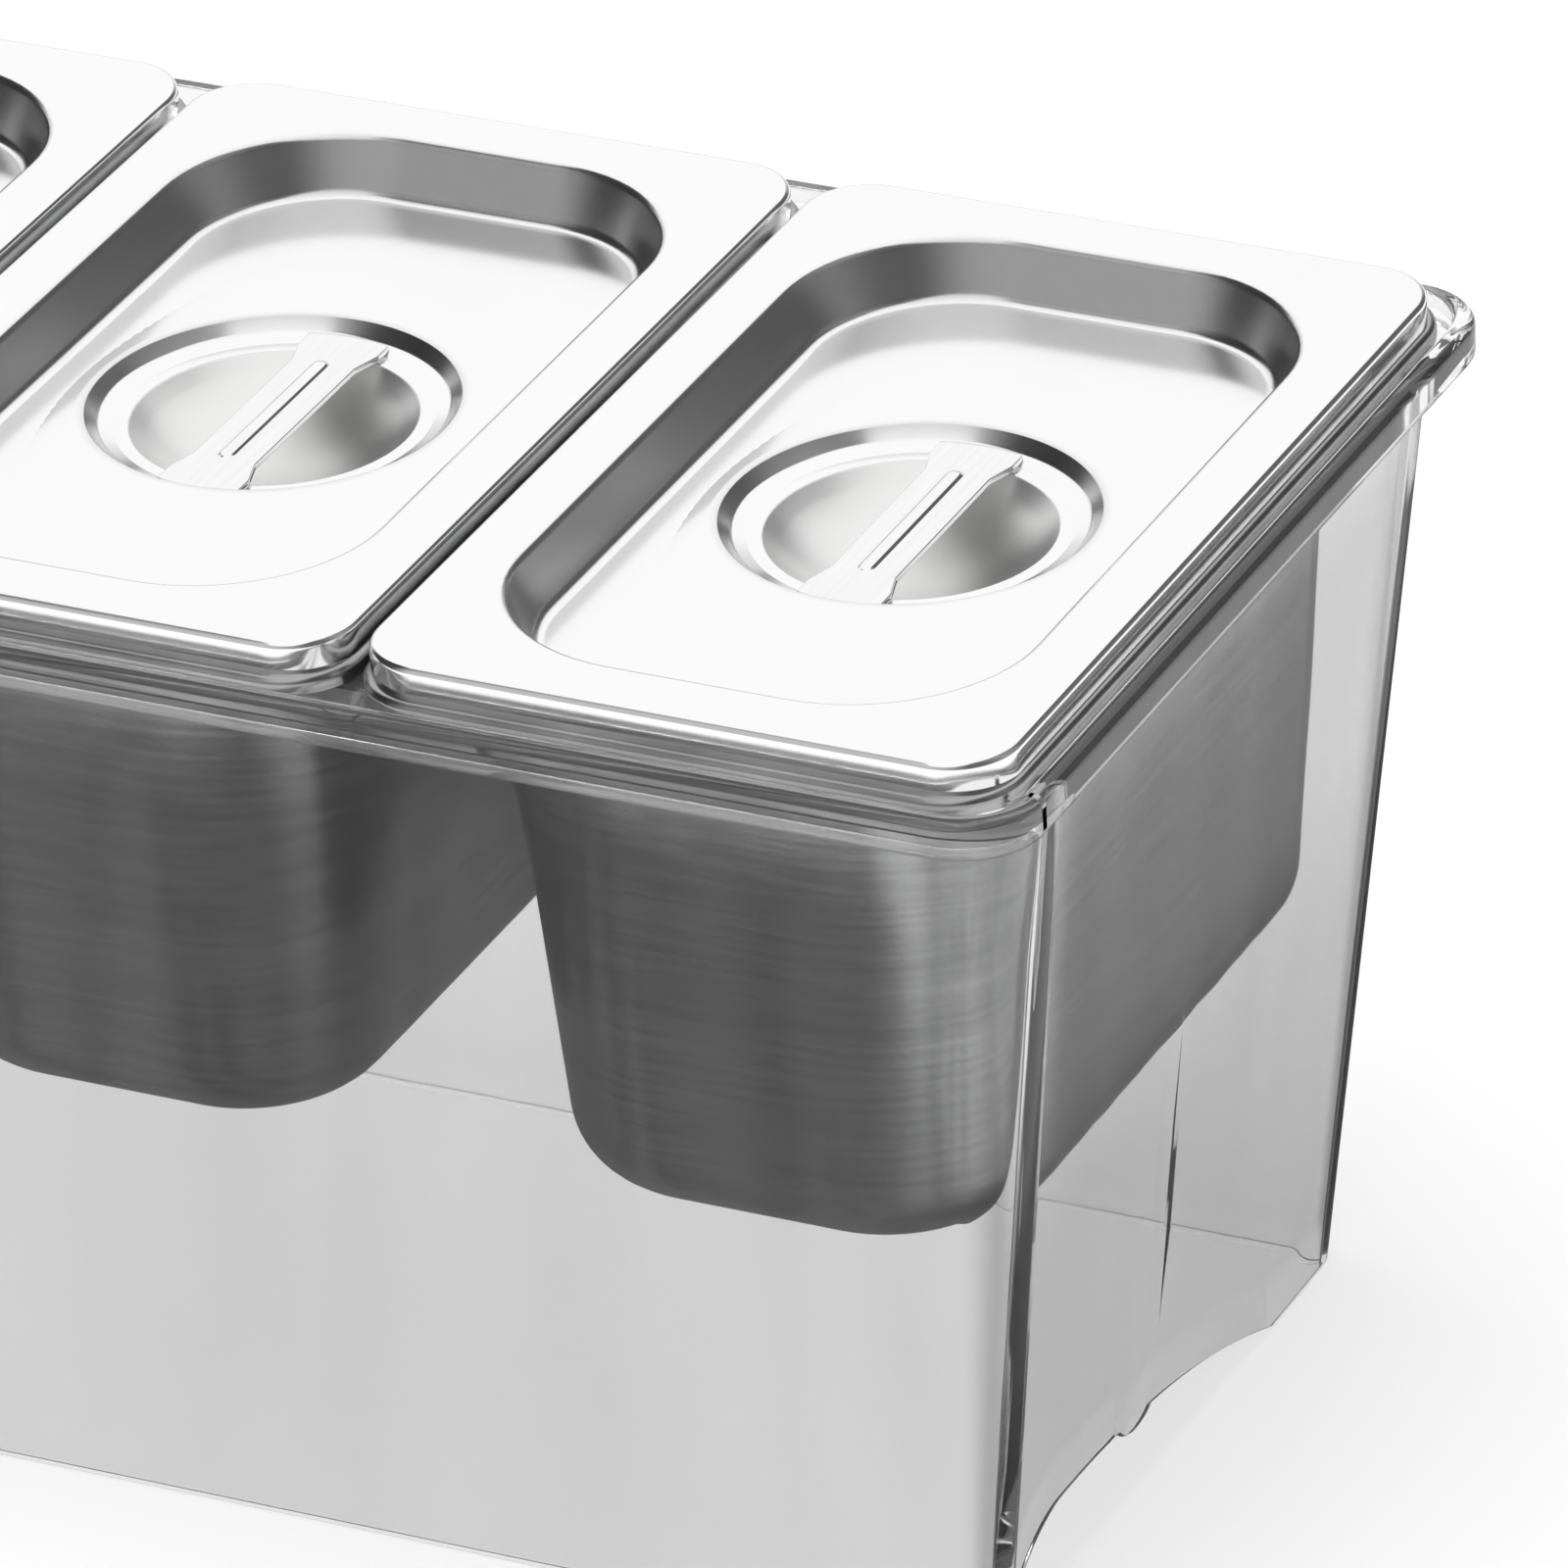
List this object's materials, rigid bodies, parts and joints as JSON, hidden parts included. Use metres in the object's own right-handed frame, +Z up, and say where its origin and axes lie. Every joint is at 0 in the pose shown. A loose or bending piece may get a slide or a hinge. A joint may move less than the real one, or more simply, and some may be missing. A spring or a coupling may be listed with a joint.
{
  "type": "condiment dispenser",
  "caption": "Clear moulded countertop stand with a rounded rim, holding a row of deep steel pans, each with a steel lid that has a sunk panel and a strap handle over a dished grip.",
  "frame": {"origin": "middle of the footprint, at the surface the stand rests on", "axes": "+X along the row of pans to the right, -Y the front where a user stands, +Z up"},
  "size_m": [0.3354, 0.1846, 0.168],
  "materials": {
    "clear_plastic": "clear, polished",
    "pan_steel": "brushed",
    "lid_steel": "mirror polished",
    "strap_steel": "polished"
  },
  "bodies": {
    "root": {"stand": "clear_plastic", "pan_left": "pan_steel", "pan_middle": "pan_steel", "pan_right": "pan_steel", "lid_left": "lid_steel", "lid_middle": "lid_steel", "lid_right": "lid_steel", "strap_left": "strap_steel", "strap_middle": "strap_steel", "strap_right": "strap_steel"}
  },
  "joints": []
}
